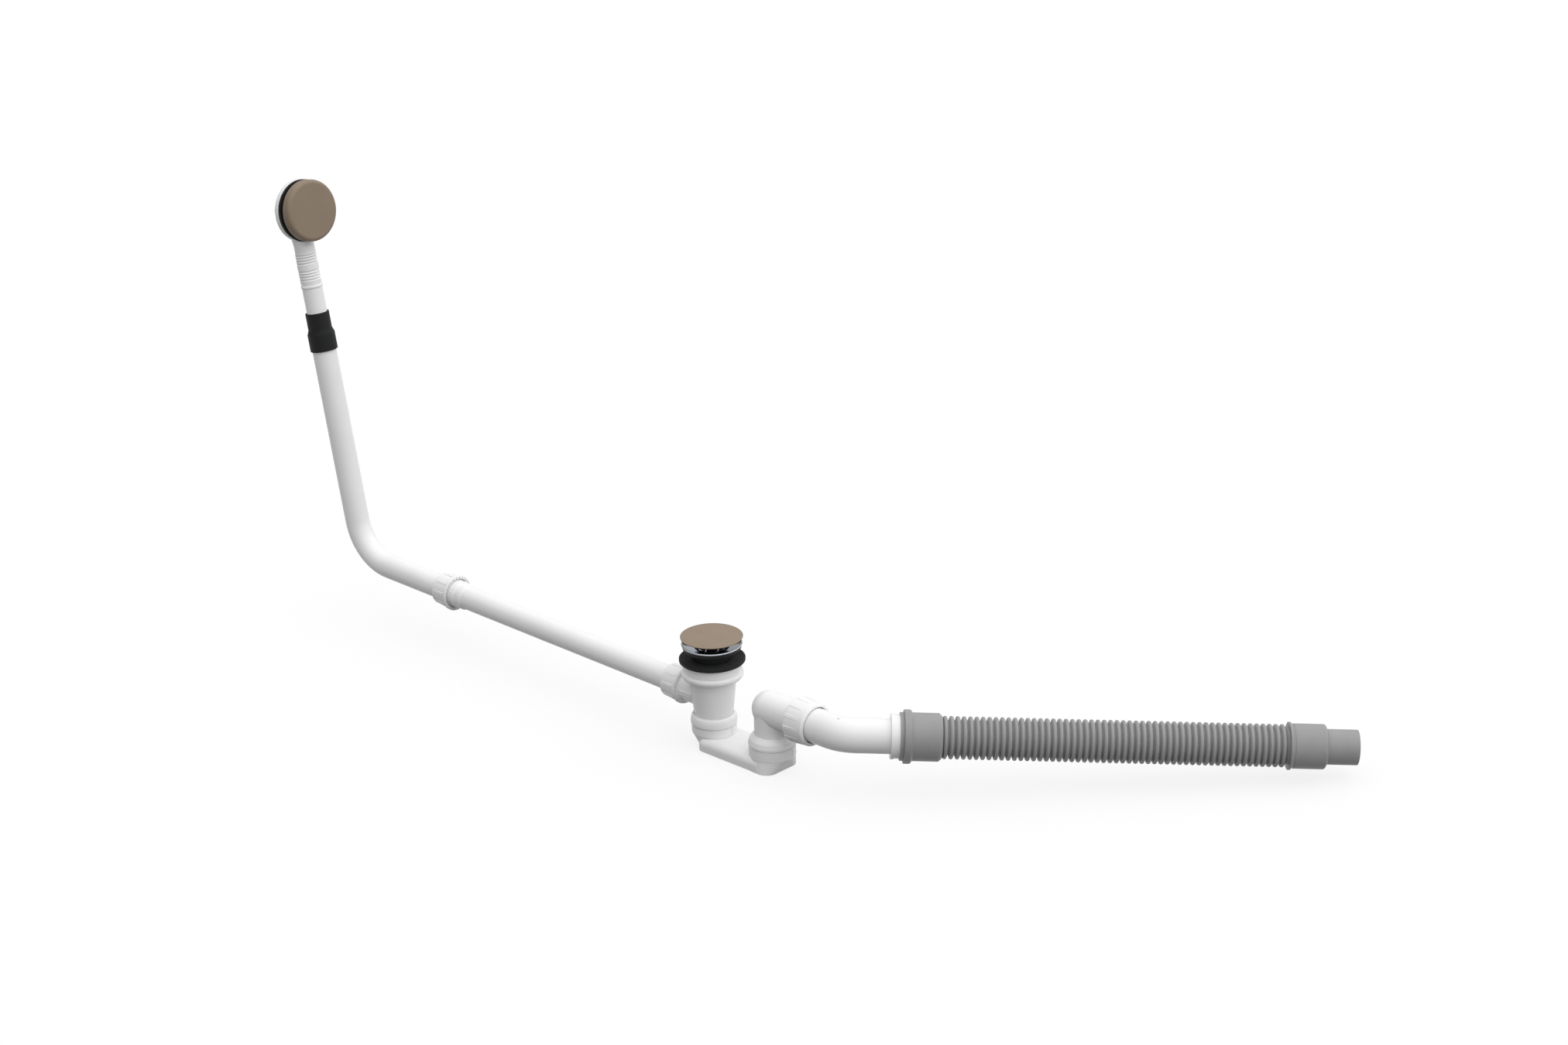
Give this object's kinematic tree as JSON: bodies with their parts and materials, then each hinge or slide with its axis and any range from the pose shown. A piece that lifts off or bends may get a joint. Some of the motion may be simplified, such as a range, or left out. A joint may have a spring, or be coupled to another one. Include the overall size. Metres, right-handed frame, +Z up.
{
  "type": "bath waste and overflow",
  "caption": "Bath waste and overflow: click plug on a clamped flange, low trap, corrugated drain hose and a tube up to a round overflow cover.",
  "frame": {"origin": "on the waste axis, on the face of the waste gasket that seals against the underside of the bath", "axes": "+Z up along the waste axis, +X towards the trap outlet and the drain hose, with the overflow line in the plane Y = 0 on the -X side"},
  "size_m": [1.3318, 0.4601, 0.5462],
  "materials": {
    "taupe_metal": "satin",
    "white_plastic": "semi-gloss moulded",
    "grey_plastic": "satin moulded",
    "black_plastic": "matt moulded",
    "black_rubber": "matt",
    "chrome": "polished",
    "steel": "turned",
    "brass": "turned"
  },
  "bodies": {
    "fixture": {"waste_flange": "chrome", "flange_seal": "black_rubber", "clamp_bolt": "steel", "click_cartridge": "black_plastic", "waste_gasket": "black_rubber", "waste_body": "white_plastic", "body_insert": "brass", "branch_nut": "white_plastic", "branch_nut_seal": "black_rubber", "lower_overflow_tube": "white_plastic", "joint_nut": "white_plastic", "joint_nut_seal": "black_rubber", "upper_overflow_tube": "white_plastic", "tube_coupling": "black_rubber", "overflow_body": "white_plastic", "overflow_gasket": "black_rubber", "overflow_face": "black_plastic", "overflow_screw": "steel", "overflow_cover": "taupe_metal"},
    "plug": {"plug_cap": "taupe_metal", "plug_disc": "black_plastic", "plug_seal": "black_rubber", "plug_stem": "steel"},
    "trap": {"trap_base": "white_plastic", "trap_inlet_collar": "white_plastic", "trap_inlet_seal": "black_rubber", "trap_outlet_collar": "white_plastic", "trap_outlet_seal": "black_rubber"},
    "outlet": {"outlet_elbow": "white_plastic", "outlet_nut": "white_plastic", "outlet_nut_seal": "black_rubber", "outlet_bend": "white_plastic", "hose_socket": "grey_plastic", "hose_socket_seal": "black_rubber", "corrugated_hose": "grey_plastic", "hose_spigot": "grey_plastic"}
  },
  "joints": [
    {"name": "plug_slide", "type": "slide", "parent": "fixture", "child": "plug", "axis": [0, 0, 1], "range_m": [-0.0065, 0]},
    {"name": "trap_swivel", "type": "hinge", "parent": "fixture", "child": "trap", "pos_m": [0, 0, -0.08], "axis": [0, 0, 1], "range_deg": [-60, 60]},
    {"name": "outlet_swivel", "type": "hinge", "parent": "trap", "child": "outlet", "pos_m": [0.0921, 0, -0.08], "axis": [0, 0, 1], "range_deg": [-60, 60]}
  ]
}
